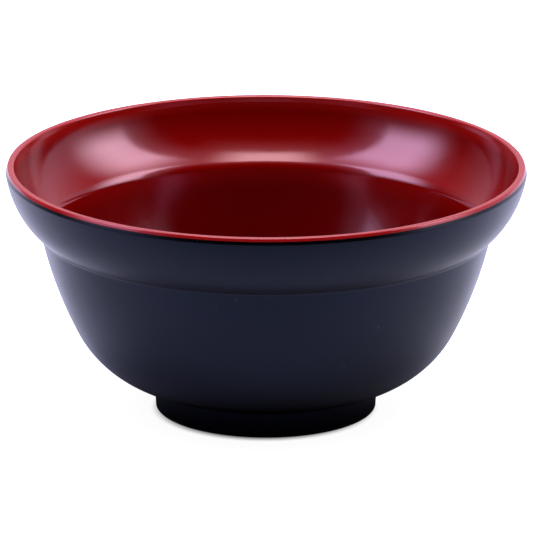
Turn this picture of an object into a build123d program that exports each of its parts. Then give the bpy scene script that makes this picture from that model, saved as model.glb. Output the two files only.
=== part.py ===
from build123d import *
from math import cos, radians, sin, tan
import os

# A two-tone rice bowl, moulded in two shots: a dark outer shell that stands on its own foot
# ring, and a glossy lining bonded inside it, which folds over the top of the lip.
# Millimetres, +Z up, with the origin at the centre of the foot, on the surface it stands on.

# Overall size and wall
rim_radius = 90.0
bowl_height = 86.9
shell_thickness = 1.8
liner_thickness = 1.2
wall = shell_thickness + liner_thickness

# Lip: above the widest point the outside leans in, and the lining shows on its upper half
widest_height = 84.7
lining_edge_height = 85.85
lip_lean = 18.0
widest_round = 0.5
lip_outer_round = 0.35
lip_inner_round = 0.6

# Outside, from the widest point down: the radius of each round stretch, and how many degrees
# from straight down its lower end leans inwards. Only the crease turns back outwards.
collar_top_lean = 9.0
collar_radius, collar_lean = 36.0, 26.0
step_radius, step_lean = 31.7, 50.2
crease_radius, crease_lean = 2.3, 12.5
belly_radius, belly_lean = 142.0, 26.8
heel_radius, heel_lean = 38.0, 90.0

# Foot ring: it tapers to its lower edge, and its upper edge is buried in the heel
foot_radius = 38.2
foot_width = 3.4
foot_draft = 3.0
foot_root_height = 10.5
foot_edge_round = 0.7
foot_root_round = 1.0


def lip_radius(height):
    """Outside radius of the lip at a height above the widest point."""
    return rim_radius - (height - widest_height) * tan(radians(lip_lean))


def bowl_outline(inset, mouth_radius, mouth_height):
    """Closed half section of a solid bowl whose side lies inset inside the bowl's outside.

    It is cut level at mouth_height, where the side ends at mouth_radius.
    """
    lean = radians(collar_top_lean)
    start = (rim_radius - inset * cos(lean), widest_height + inset * sin(lean))
    mouth = (mouth_radius, mouth_height)
    with BuildLine() as outline:
        Line(mouth, start)
        collar = JernArc(start, (-sin(lean), -cos(lean)), collar_radius - inset,
                         collar_top_lean - collar_lean)
        step = JernArc(collar @ 1, collar % 1, step_radius - inset, collar_lean - step_lean)
        crease = JernArc(step @ 1, step % 1, crease_radius + inset, step_lean - crease_lean)
        belly = JernArc(crease @ 1, crease % 1, belly_radius - inset, crease_lean - belly_lean)
        heel = JernArc(belly @ 1, belly % 1, heel_radius - inset, belly_lean - heel_lean)
        Polyline(heel @ 1, (0, (heel @ 1).Y), (0, mouth_height), mouth)
    return outline.edges()


def inside_outline(inset, mouth_height):
    """The same for a surface inside the wall, which runs straight up to mouth_height."""
    return bowl_outline(inset, rim_radius - inset * cos(radians(collar_top_lean)), mouth_height)


# Outer shell, with the foot ring moulded on
with BuildPart() as outer_shell:
    foot_inner_radius = foot_radius - foot_width
    foot_spread = foot_root_height * tan(radians(foot_draft))
    with BuildSketch(Plane.XZ) as shell_section:
        make_face(bowl_outline(0, lip_radius(lining_edge_height), lining_edge_height))
        with BuildLine():
            Polyline((foot_inner_radius, 0), (foot_radius, 0),
                     (foot_radius + foot_spread, foot_root_height),
                     (foot_inner_radius - foot_spread, foot_root_height), close=True)
        make_face()
        make_face(inside_outline(shell_thickness, bowl_height), mode=Mode.SUBTRACT)
        foot_corners = shell_section.vertices().filter_by_position(
            Axis.X, foot_inner_radius - foot_spread, foot_radius + foot_spread)
        fillet(foot_corners.sort_by(Axis.Y)[2:], foot_root_round)
        fillet(shell_section.vertices().group_by(Axis.Y)[0], foot_edge_round)
        fillet(shell_section.vertices().sort_by(Axis.X)[-1], widest_round)
    revolve(axis=Axis.Z)
outer_shell.part.label = "outer_shell"

# Glossy lining: one skin over the whole inside, ending in a band over the top of the lip
with BuildPart() as inner_liner:
    with BuildSketch(Plane.XZ) as liner_section:
        make_face(bowl_outline(0, lip_radius(bowl_height), bowl_height))
        make_face(bowl_outline(0, lip_radius(lining_edge_height), lining_edge_height),
                  mode=Mode.SUBTRACT)
        make_face(inside_outline(shell_thickness, lining_edge_height))
        make_face(inside_outline(wall, bowl_height), mode=Mode.SUBTRACT)
        lip_corners = liner_section.vertices().group_by(Axis.Y)[-1]
        fillet(lip_corners.sort_by(Axis.X)[-1], lip_outer_round)
        fillet(liner_section.vertices().group_by(Axis.Y)[-1].sort_by(Axis.X)[0],
               lip_inner_round)
    revolve(axis=Axis.Z)
inner_liner.part.label = "inner_liner"

os.makedirs("parts", exist_ok=True)
export_step(outer_shell.part, "parts/outer_shell.step")
export_step(inner_liner.part, "parts/inner_liner.step")
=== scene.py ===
from collections import namedtuple
from math import atan2, cos, hypot, pi, radians, sin, tan

import bpy
from mathutils import Matrix, Vector


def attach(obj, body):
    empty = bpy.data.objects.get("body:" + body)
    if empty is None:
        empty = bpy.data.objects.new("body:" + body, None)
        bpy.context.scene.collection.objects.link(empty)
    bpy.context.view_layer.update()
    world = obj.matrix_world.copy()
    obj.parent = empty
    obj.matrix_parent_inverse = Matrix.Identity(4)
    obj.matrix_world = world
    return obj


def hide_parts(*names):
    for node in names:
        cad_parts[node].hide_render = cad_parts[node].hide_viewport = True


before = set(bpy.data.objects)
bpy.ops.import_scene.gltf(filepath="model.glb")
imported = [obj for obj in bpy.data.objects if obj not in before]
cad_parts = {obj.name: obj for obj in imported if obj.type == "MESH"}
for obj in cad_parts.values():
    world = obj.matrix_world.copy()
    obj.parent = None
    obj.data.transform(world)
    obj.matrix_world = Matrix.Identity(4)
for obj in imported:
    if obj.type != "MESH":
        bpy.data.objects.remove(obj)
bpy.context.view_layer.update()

# A two-tone rice bowl: a satin blue-black shell on a short foot ring, and a glossy red lining
# bonded inside it. Both are closed solids turned round the Z axis.

# ---------------------------------------------------------------------------------------
# Sizes of the bowl, in metres, as in the CAD model
# ---------------------------------------------------------------------------------------
MM = 0.001
RIM_RADIUS = 90.0 * MM
BOWL_HEIGHT = 86.9 * MM
SHELL_THICKNESS = 1.8 * MM
LINER_THICKNESS = 1.2 * MM
WALL = SHELL_THICKNESS + LINER_THICKNESS

# Lip: above the widest point the outside leans in, and the lining shows on its upper half
WIDEST_HEIGHT = 84.7 * MM
LINING_EDGE_HEIGHT = 85.85 * MM
LIP_LEAN = radians(18.0)
WIDEST_ROUND = 0.5 * MM
LIP_OUTER_ROUND = 0.35 * MM
LIP_INNER_ROUND = 0.6 * MM

# Outside, from the widest point down. A lean is measured from straight down.
COLLAR_TOP_LEAN = radians(9.0)
Stretch = namedtuple("Stretch", "radius end_lean faces")
STRETCHES = (
    Stretch(36.0 * MM, radians(26.0), 16),    # collar
    Stretch(31.7 * MM, radians(50.2), 20),    # step
    Stretch(2.3 * MM, radians(12.5), 14),     # crease, the only one that turns back outwards
    Stretch(142.0 * MM, radians(26.8), 26),   # belly
    Stretch(38.0 * MM, radians(90.0), 44),    # heel
)

FOOT_RADIUS = 38.2 * MM
FOOT_WIDTH = 3.4 * MM
FOOT_DRAFT = radians(3.0)
FOOT_EDGE_ROUND = 0.7 * MM
FOOT_ROOT_ROUND = 1.0 * MM
FOOT_ROOT_CLEAR = 2 * FOOT_ROOT_ROUND   # points of the heel nearer to the foot are left out

# Faces
AROUND = 384
CORNER_FACES = 6
CORNER_SHARE = 0.98       # the most of either side of a corner that its round may take
SMOOTH_ANGLE = radians(30)


# ---------------------------------------------------------------------------------------
# Camera, at the viewing angle of the photograph
# ---------------------------------------------------------------------------------------
VIEW_ELEVATION = radians(16.92)
VIEW_ROLL = radians(0.12)
VIEW_DISTANCE = 2.7
VIEW_TARGET = Vector((0.00016, 0.0, 0.05007))
VIEW_REACH = 50.0
FOCAL_LENGTH_MM = 526.3
SENSOR_MM = 36.0


def make_camera():
    data = bpy.data.cameras.new("camera")
    data.lens = FOCAL_LENGTH_MM
    data.sensor_width = SENSOR_MM
    data.sensor_fit = "HORIZONTAL"
    data.clip_end = VIEW_REACH
    camera = bpy.data.objects.new("camera", data)
    back = Vector((0.0, -cos(VIEW_ELEVATION), sin(VIEW_ELEVATION)))
    camera.location = VIEW_TARGET + back * VIEW_DISTANCE
    tilt = Matrix.Rotation(pi / 2 - VIEW_ELEVATION, 3, "X")
    camera.rotation_euler = (tilt @ Matrix.Rotation(VIEW_ROLL, 3, "Z")).to_euler()
    bpy.context.scene.collection.objects.link(camera)
    bpy.context.scene.camera = camera


# ---------------------------------------------------------------------------------------
# Half sections. A point is (radius, height), and a corner is (radius, height, its round).
# ---------------------------------------------------------------------------------------
def side_curve(inset):
    """The bowl's side from its widest point down to the flat base, drawn in by inset."""
    lean = COLLAR_TOP_LEAN
    r = RIM_RADIUS - inset * cos(lean)
    z = WIDEST_HEIGHT + inset * sin(lean)
    points = [(r, z)]
    for radius, end_lean, faces in STRETCHES:
        sign = 1 if end_lean > lean else -1
        reach = sign * radius - inset
        for i in range(1, faces + 1):
            a = lean + (end_lean - lean) * i / faces
            points.append((r + reach * (cos(a) - cos(lean)), z - reach * (sin(a) - sin(lean))))
        r, z = points[-1]
        lean = end_lean
    return points


def bonded_curve():
    """The hidden side that the two pieces share, with half as many faces."""
    return side_curve(SHELL_THICKNESS)[::2]


def lip_radius(height):
    """Outside radius of the lip at a height above the widest point."""
    return RIM_RADIUS - (height - WIDEST_HEIGHT) * tan(LIP_LEAN)


def foot_crossing(side, radius, outwards):
    """Where a side curve crosses the foot's outer wall, outwards 1, or its inner wall, -1."""
    def gap(r, z):
        return r - (radius + outwards * z * tan(FOOT_DRAFT))

    for upper, lower in zip(side, side[1:]):
        if gap(*upper) >= 0 > gap(*lower):
            share = gap(*upper) / (gap(*upper) - gap(*lower))
            return tuple(a + (b - a) * share for a, b in zip(upper, lower))
    raise ValueError("the foot doesn't meet the heel")


def round_corner(before, corner, after, radius):
    """Points of the arc that rounds one corner of an outline."""
    ar, az = before[0] - corner[0], before[1] - corner[1]
    br, bz = after[0] - corner[0], after[1] - corner[1]
    a_length, b_length = hypot(ar, az), hypot(br, bz)
    ar, az, br, bz = ar / a_length, az / a_length, br / b_length, bz / b_length
    half = atan2(abs(ar * bz - az * br), ar * br + az * bz) / 2
    run = min(radius / tan(half), CORNER_SHARE * a_length, CORNER_SHARE * b_length)
    radius = run * tan(half)
    middle_length = hypot(ar + br, az + bz)
    middle_r = corner[0] + (ar + br) / middle_length * radius / sin(half)
    middle_z = corner[1] + (az + bz) / middle_length * radius / sin(half)
    start = atan2(corner[1] + az * run - middle_z, corner[0] + ar * run - middle_r)
    end = atan2(corner[1] + bz * run - middle_z, corner[0] + br * run - middle_r)
    turn = (end - start + pi) % (2 * pi) - pi
    angles = [start + turn * i / CORNER_FACES for i in range(CORNER_FACES + 1)]
    return [(middle_r + radius * cos(a), middle_z + radius * sin(a)) for a in angles]


def sharp(points):
    """Corners with no round."""
    return [(r, z, 0.0) for r, z in points]


def outline_of(corners):
    """Points through the corners, with an arc at each one that has a round."""
    points = []
    for i, (r, z, radius) in enumerate(corners):
        if radius:
            points += round_corner(corners[i - 1][:2], (r, z), corners[i + 1][:2], radius)
        else:
            points.append((r, z))
    return points


def shell_outline():
    """Outer shell with its foot, from the axis under the base round to the axis inside."""
    outside = side_curve(0.0)
    bonded = bonded_curve()
    foot_inner_radius = FOOT_RADIUS - FOOT_WIDTH
    outer_root = foot_crossing(outside, FOOT_RADIUS, outwards=1)
    inner_root = foot_crossing(outside, foot_inner_radius, outwards=-1)
    base = [p for p in reversed(outside) if p[0] < inner_root[0] - FOOT_ROOT_CLEAR]
    *side, widest = [p for p in reversed(outside) if p[0] > outer_root[0] + FOOT_ROOT_CLEAR]
    return outline_of([
        (0.0, outside[-1][1], 0.0),
        *sharp(base),
        (*inner_root, FOOT_ROOT_ROUND),
        (foot_inner_radius, 0.0, FOOT_EDGE_ROUND),
        (FOOT_RADIUS, 0.0, FOOT_EDGE_ROUND),
        (*outer_root, FOOT_ROOT_ROUND),
        *sharp(side),
        (*widest, WIDEST_ROUND),
        (lip_radius(LINING_EDGE_HEIGHT), LINING_EDGE_HEIGHT, 0.0),
        (bonded[0][0], LINING_EDGE_HEIGHT, 0.0),
        *sharp(bonded),
        (0.0, bonded[-1][1], 0.0),
    ])


def liner_outline():
    """Lining, from the axis on its bonded side up over the lip and down its glossy side."""
    bonded = bonded_curve()
    glossy = side_curve(WALL)
    return outline_of([
        (0.0, bonded[-1][1], 0.0),
        *sharp(reversed(bonded)),
        (bonded[0][0], LINING_EDGE_HEIGHT, 0.0),
        (lip_radius(LINING_EDGE_HEIGHT), LINING_EDGE_HEIGHT, 0.0),
        (lip_radius(BOWL_HEIGHT), BOWL_HEIGHT, LIP_OUTER_ROUND),
        (glossy[0][0], BOWL_HEIGHT, LIP_INNER_ROUND),
        *sharp(glossy),
        (0.0, glossy[-1][1], 0.0),
    ])


# ---------------------------------------------------------------------------------------
# Turned meshes
# ---------------------------------------------------------------------------------------
def turned_mesh(name, outline, material):
    """A closed solid of revolution from an outline that starts and ends on the axis."""
    rings = outline[1:-1]
    directions = [(cos(2 * pi * i / AROUND), sin(2 * pi * i / AROUND)) for i in range(AROUND)]
    vertices = [(0.0, 0.0, outline[0][1])]
    for r, z in rings:
        vertices += [(r * c, r * s, z) for c, s in directions]
    vertices.append((0.0, 0.0, outline[-1][1]))

    def vertex(k, i):
        """Number of the vertex at step i round ring k."""
        return 1 + k * AROUND + i % AROUND

    last_ring = len(rings) - 1
    last_vertex = len(vertices) - 1
    faces = []
    for i in range(AROUND):
        faces.append((0, vertex(0, i + 1), vertex(0, i)))
        faces += [(vertex(k, i), vertex(k, i + 1), vertex(k + 1, i + 1), vertex(k + 1, i))
                  for k in range(last_ring)]
        faces.append((last_vertex, vertex(last_ring, i), vertex(last_ring, i + 1)))
    mesh = bpy.data.meshes.new(name)
    mesh.from_pydata(vertices, [], faces)
    mesh.materials.append(material)
    mesh.polygons.foreach_set("use_smooth", [True] * len(mesh.polygons))
    mesh.set_sharp_from_angle(angle=SMOOTH_ANGLE)
    mesh.update()
    piece = bpy.data.objects.new(name, mesh)
    bpy.context.scene.collection.objects.link(piece)
    return piece


# ---------------------------------------------------------------------------------------
# Node graphs, for the materials and the light
# ---------------------------------------------------------------------------------------
NOISE_RANGE = (0.3, 0.7)  # where most of a noise lies


class Graph:
    """A node tree. Most methods add a node and return its output."""

    def __init__(self, tree):
        self.nodes = tree.nodes
        self.links = tree.links

    def feed(self, node, inputs):
        """Give each input, by name or number, its node output, colour, vector or value."""
        for name, value in inputs.items():
            socket = node.inputs[name]
            if isinstance(value, bpy.types.NodeSocket):
                self.links.new(value, socket)
            elif socket.type == "RGBA":
                socket.default_value = (*value, 1.0)
            else:
                socket.default_value = value

    def add(self, kind, output, inputs=None, **settings):
        """Add a node with its settings and inputs, and return one of its outputs."""
        node = self.nodes.new("ShaderNode" + kind)
        for name, value in settings.items():
            setattr(node, name, value)
        self.feed(node, inputs or {})
        return node.outputs[output]

    def place(self):
        """Where a point lies in the piece, in metres."""
        return self.add("TexCoord", "Object")

    def coordinate(self, place, axis):
        return self.add("SeparateXYZ", axis, {"Vector": place})

    def distance(self, place, point):
        return self.add("VectorMath", "Value", {0: place, 1: point}, operation="DISTANCE")

    def along(self, direction, axis):
        """How far a unit direction points along an axis."""
        return self.add("VectorMath", "Value", {0: direction, 1: axis}, operation="DOT_PRODUCT")

    def noise(self, place, scale, detail=3.0):
        return self.add("TexNoise", "Fac", {"Vector": place, "Scale": scale, "Detail": detail})

    def spread(self, value, to, across=NOISE_RANGE, kind="LINEAR"):
        """Map a number from the range in across to the range in to."""
        return self.add("MapRange", "Result",
                        {"Value": value, "From Min": across[0], "From Max": across[1],
                         "To Min": to[0], "To Max": to[1]},
                        interpolation_type=kind)

    def fade(self, value, to, at, blur):
        """Map a number to the range in to at a soft edge, blurred by blur on each side."""
        return self.spread(value, to, across=(at - blur, at + blur), kind="SMOOTHSTEP")

    def blend(self, share, low, high):
        """Mix two colours."""
        return self.add("Mix", "Result", {"Factor": share, "A": low, "B": high}, data_type="RGBA")

    def tinted(self, value, colour):
        """A colour, as bright as the value says."""
        return self.add("VectorMath", "Vector", {0: colour, "Scale": value}, operation="SCALE")

    def combined(self, kind, output, operation, values):
        """Combine any number of values, two at a time."""
        total, *others = values
        for value in others:
            total = self.add(kind, output, {0: total, 1: value}, operation=operation)
        return total

    def product(self, *numbers):
        return self.combined("Math", "Value", "MULTIPLY", numbers)

    def sum(self, *numbers):
        return self.combined("Math", "Value", "ADD", numbers)

    def sum_of_colours(self, *colours):
        return self.combined("VectorMath", "Vector", "ADD", colours)

    def ramp(self, value, stops):
        """Colours by value; the first stop is at 0 and the last at 1."""
        node = self.nodes.new("ShaderNodeValToRGB")
        elements = node.color_ramp.elements
        elements[0].color = (*stops[0][1], 1.0)
        elements[1].color = (*stops[-1][1], 1.0)
        for at, colour in stops[1:-1]:
            elements.new(at).color = (*colour, 1.0)
        self.feed(node, {"Fac": value})
        return node.outputs["Color"]

    def bump(self, height, strength, distance):
        return self.add("Bump", "Normal",
                        {"Height": height, "Strength": strength, "Distance": distance})


def new_material(name):
    material = bpy.data.materials.new(name)
    material.use_nodes = True
    return material, Graph(material.node_tree), material.node_tree.nodes["Principled BSDF"]


# ---------------------------------------------------------------------------------------
# Materials of the bowl
# ---------------------------------------------------------------------------------------
SHELL_TONES = (0.0003, 0.0003, 0.0006), (0.0006, 0.0006, 0.0010)
RUBBED_TONE = (0.020, 0.021, 0.024)
SPECK_TONE = (0.030, 0.032, 0.040)
RUBBED_HEIGHT = 1.2 * MM
SHELL_ROUGHNESS = (0.22, 0.27)
RUBBED_ROUGHNESS = 0.50

# Share of the bowl's height, and the lining's colour there: the red, with painted shade darkening
# the well and painted light brightening the shoulder and the lip
LINING_RED_AND_PAINTED_LIGHT = (
    (0.0, (0.125, 0.0003, 0.0003)),
    (0.66, (0.130, 0.0003, 0.0003)),
    (0.77, (0.240, 0.0010, 0.0008)),
    (0.94, (0.190, 0.0008, 0.0006)),
    (0.985, (0.36, 0.006, 0.005)),
    (1.0, (0.38, 0.008, 0.010)),
)
MOTTLE_HEIGHT = 0.6 * MM  # how far the noise shifts those colours up or down
GLAZE_ROUGHNESS = (0.10, 0.14)
SCUFF_ROUGHNESS = 0.03


def shell_material():
    """Satin blue-black melamine straight from the mould, rubbed where the foot stands."""
    material, graph, shader = new_material("satin_black_melamine")
    place = graph.place()
    foot_edge = graph.spread(graph.coordinate(place, "Z"), to=(1, 0), across=(0.0, RUBBED_HEIGHT))
    patches = graph.spread(graph.noise(place, scale=260.0, detail=4.0), to=(0, 1),
                           across=(0.42, 0.58))
    rubbed = graph.product(foot_edge, patches)
    specks = graph.spread(graph.noise(place, scale=850.0, detail=0.0), to=(0, 1),
                          across=(0.85, 0.88))
    tone = graph.blend(graph.noise(place, scale=45.0), *SHELL_TONES)
    tone = graph.blend(rubbed, tone, RUBBED_TONE)
    tone = graph.blend(specks, tone, SPECK_TONE)
    clouds = graph.spread(graph.noise(place, scale=60.0, detail=4.0), to=SHELL_ROUGHNESS)
    grain = graph.noise(place, scale=2600.0, detail=2.0)
    graph.feed(shader, {
        "Base Color": tone,
        "Roughness": graph.spread(rubbed, to=(clouds, RUBBED_ROUGHNESS), across=(0.0, 1.0)),
        "Specular IOR Level": 0.46,
        "Specular Tint": (0.56, 0.67, 1.0),
        "Normal": graph.bump(grain, strength=0.15, distance=0.04 * MM),
    })
    return material


def liner_material():
    """Deep red melamine under a clear glaze, with painted light and shade by height: darker in
    the well, lighter at the shoulder and the lip.
    """
    material, graph, shader = new_material("glazed_red_melamine")
    place = graph.place()
    mottle = graph.spread(graph.noise(place, scale=40.0), to=(-MOTTLE_HEIGHT, MOTTLE_HEIGHT),
                          across=(0.2, 0.8))
    level = graph.sum(graph.coordinate(place, "Z"), mottle)
    share = graph.spread(level, to=(0.0, 1.0), across=(0.0, BOWL_HEIGHT))
    clouds = graph.spread(graph.noise(place, scale=70.0, detail=4.0), to=GLAZE_ROUGHNESS)
    scuffs = graph.spread(graph.noise(place, scale=420.0, detail=5.0), to=(0, SCUFF_ROUGHNESS),
                          across=(0.56, 0.70))
    ripple = graph.noise(place, scale=240.0, detail=1.0)
    graph.feed(shader, {
        # the red of the lining, with painted shade in the well and painted light on the shoulder
        # and lip
        "Base Color": graph.ramp(share, LINING_RED_AND_PAINTED_LIGHT),
        "Roughness": graph.sum(clouds, scuffs),
        "Specular IOR Level": 1.0,
        "Specular Tint": (1.0, 0.64, 0.84),
        "Normal": graph.bump(ripple, strength=0.10, distance=0.1 * MM),
    })
    return material


# ---------------------------------------------------------------------------------------
# Floor. The bowl reflects the painted tones, and the camera sees white with a painted
# contact shadow. All of it is fixed in the scene and none of it is on the bowl's pieces.
# ---------------------------------------------------------------------------------------
FLOOR_SIZE = 12.0
FLOOR_TONES = (0.20, 0.215, 0.28), (0.70, 0.74, 1.0)
FLOOR_TONES_FROM, FLOOR_TONES_TO = -240 * MM, 100 * MM     # along Y, towards the back
UNDER_BOWL_TONE = (0.03, 0.03, 0.035)
UNDER_BOWL_FROM, UNDER_BOWL_TO = 34 * MM, 95 * MM          # away from the axis
FLOOR_ROUGHNESS = 0.9
SEEN_TONE = (1.0, 1.0, 1.0)
SEEN_FLOOR = 0.96         # how bright the floor looks to the camera
FLOOR_GLOW = 0.06         # and how much it adds to its own reflection in the bowl
CONTACT_MIDDLE = (-0.6 * MM, -2.7 * MM, 0.0)
CONTACT_FROM, CONTACT_TO = 34.2 * MM, 40.0 * MM            # away from that point
CONTACT_DARKEST = 0.15    # share of the floor's glow that is left where the foot stands


def floor_material():
    """A pale sheet, painted darker towards the front and under the bowl."""
    material, graph, shader = new_material("pale_floor")
    place = graph.place()
    backwards = graph.spread(graph.coordinate(place, "Y"), to=(0.0, 1.0),
                             across=(FLOOR_TONES_FROM, FLOOR_TONES_TO))
    outwards = graph.spread(graph.distance(place, (0.0, 0.0, 0.0)), to=(0.0, 1.0),
                            across=(UNDER_BOWL_FROM, UNDER_BOWL_TO), kind="SMOOTHSTEP")
    tone = graph.blend(outwards, UNDER_BOWL_TONE, graph.blend(backwards, *FLOOR_TONES))
    contact = graph.spread(graph.distance(place, CONTACT_MIDDLE), to=(CONTACT_DARKEST, 1.0),
                           across=(CONTACT_FROM, CONTACT_TO), kind="SMOOTHSTEP")
    seen = graph.add("LightPath", "Is Camera Ray")
    glow = graph.spread(seen, to=(FLOOR_GLOW, SEEN_FLOOR), across=(0.0, 1.0))
    graph.feed(shader, {
        "Base Color": tone,
        "Roughness": FLOOR_ROUGHNESS,
        "Specular IOR Level": 0.0,
        "Emission Color": graph.blend(seen, tone, SEEN_TONE),
        "Emission Strength": graph.product(contact, glow),
    })
    return material


def make_floor():
    h = FLOOR_SIZE / 2
    mesh = bpy.data.meshes.new("floor")
    mesh.from_pydata([(-h, -h, 0), (h, -h, 0), (h, h, 0), (-h, h, 0)], [], [(0, 1, 2, 3)])
    mesh.materials.append(floor_material())
    floor = bpy.data.objects.new("floor", mesh)
    bpy.context.scene.collection.objects.link(floor)


# ---------------------------------------------------------------------------------------
# Light: softboxes and a dim wall, in a dark room. Reaches and blurs are sines of angles.
# ---------------------------------------------------------------------------------------
# Azimuth and elevation of the middle, and roll, are in degrees. Reach and blur are for the
# front edge, the back edge and the two ends. Brightness is in red, green and blue.
Softbox = namedtuple("Softbox", "azimuth elevation roll reach blur brightness")
SOFTBOXES = (
    # right
    Softbox(azimuth=3, elevation=37, roll=14, reach=(0.250, 0.135, 0.36),
            blur=(0.03, 0.22, 0.18), brightness=(6.3, 5.9, 6.0)),
    # left
    Softbox(azimuth=186, elevation=40, roll=24, reach=(0.260, 0.20, 0.37),
            blur=(0.04, 0.17, 0.18), brightness=(4.9, 4.6, 5.8)),
    # overhead
    Softbox(azimuth=90, elevation=75, roll=0, reach=(0.535, 0.45, 0.20),
            blur=(0.05, 0.10, 0.12), brightness=(5.7, 5.3, 4.7)),
)
SOFTBOX_SIDE = (0.0, 0.1)      # keeps a softbox off the opposite side of the sky
GLOW_REACH = 0.10              # how much further the glow round a softbox reaches
GLOW_SHARE = 0.16              # its share of the brightness
GLOW_BLUR = (0.20, 0.20, 0.20)
WALL_COLOUR = (0.66, 0.62, 0.72)
WALL_AZIMUTH = radians(70)
WALL_MIDDLE = (cos(WALL_AZIMUTH), sin(WALL_AZIMUTH), 0.0)
WALL_SIDE = (-0.1, 0.8)        # along the wall's middle direction: from dark to lit
WALL_TOP = (0.35, 0.8)         # along Z: from lit to dark


def softbox_share(graph, direction, box, reach, blur):
    """How much of a softbox lies in a direction, from 0 to 1 inside its blurred edges."""
    azimuth, elevation, roll = radians(box.azimuth), radians(box.elevation), radians(box.roll)
    middle = Vector((cos(azimuth) * cos(elevation), sin(azimuth) * cos(elevation),
                     sin(elevation)))
    level_across = (Vector((0.0, 1.0, 0.0)) - middle * middle.y).normalized()
    level_length = level_across.cross(middle)
    if level_length.z < 0:
        level_length = -level_length
    across = level_across * cos(roll) - level_length * sin(roll)
    length = level_length * cos(roll) + level_across * sin(roll)
    x = graph.along(direction, across)
    y = graph.along(direction, length)
    front, back, end = reach
    front_blur, back_blur, end_blur = blur
    return graph.product(
        graph.fade(x, to=(0, 1), at=-front, blur=front_blur),
        graph.fade(x, to=(1, 0), at=back, blur=back_blur),
        graph.fade(y, to=(0, 1), at=-end, blur=end_blur),
        graph.fade(y, to=(1, 0), at=end, blur=end_blur),
        graph.spread(graph.along(direction, middle), to=(0, 1), across=SOFTBOX_SIDE))


def make_light():
    world = bpy.data.worlds.new("studio")
    world.use_nodes = True
    graph = Graph(world.node_tree)
    direction = graph.add("TexCoord", "Generated")
    lights = []
    for box in SOFTBOXES:
        glow_reach = [reach + GLOW_REACH for reach in box.reach]
        core = softbox_share(graph, direction, box, box.reach, box.blur)
        glow = softbox_share(graph, direction, box, glow_reach, GLOW_BLUR)
        lights.append(graph.tinted(core, Vector(box.brightness) * (1 - GLOW_SHARE)))
        lights.append(graph.tinted(glow, Vector(box.brightness) * GLOW_SHARE))
    wall = graph.product(
        graph.spread(graph.along(direction, WALL_MIDDLE), to=(0, 1), across=WALL_SIDE),
        graph.spread(graph.along(direction, (0.0, 0.0, 1.0)), to=(1, 0), across=WALL_TOP))
    lights.append(graph.tinted(wall, WALL_COLOUR))
    background = world.node_tree.nodes["Background"]
    graph.feed(background, {"Color": graph.sum_of_colours(*lights)})
    bpy.context.scene.world = world


# ---------------------------------------------------------------------------------------
# Build
# ---------------------------------------------------------------------------------------
make_camera()
make_floor()
make_light()

shell = turned_mesh("bowl_shell", shell_outline(), shell_material())
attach(shell, "root")
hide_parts("outer_shell")

liner = turned_mesh("bowl_lining", liner_outline(), liner_material())
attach(liner, "root")
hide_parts("inner_liner")

bpy.context.scene.view_settings.view_transform = "Standard"
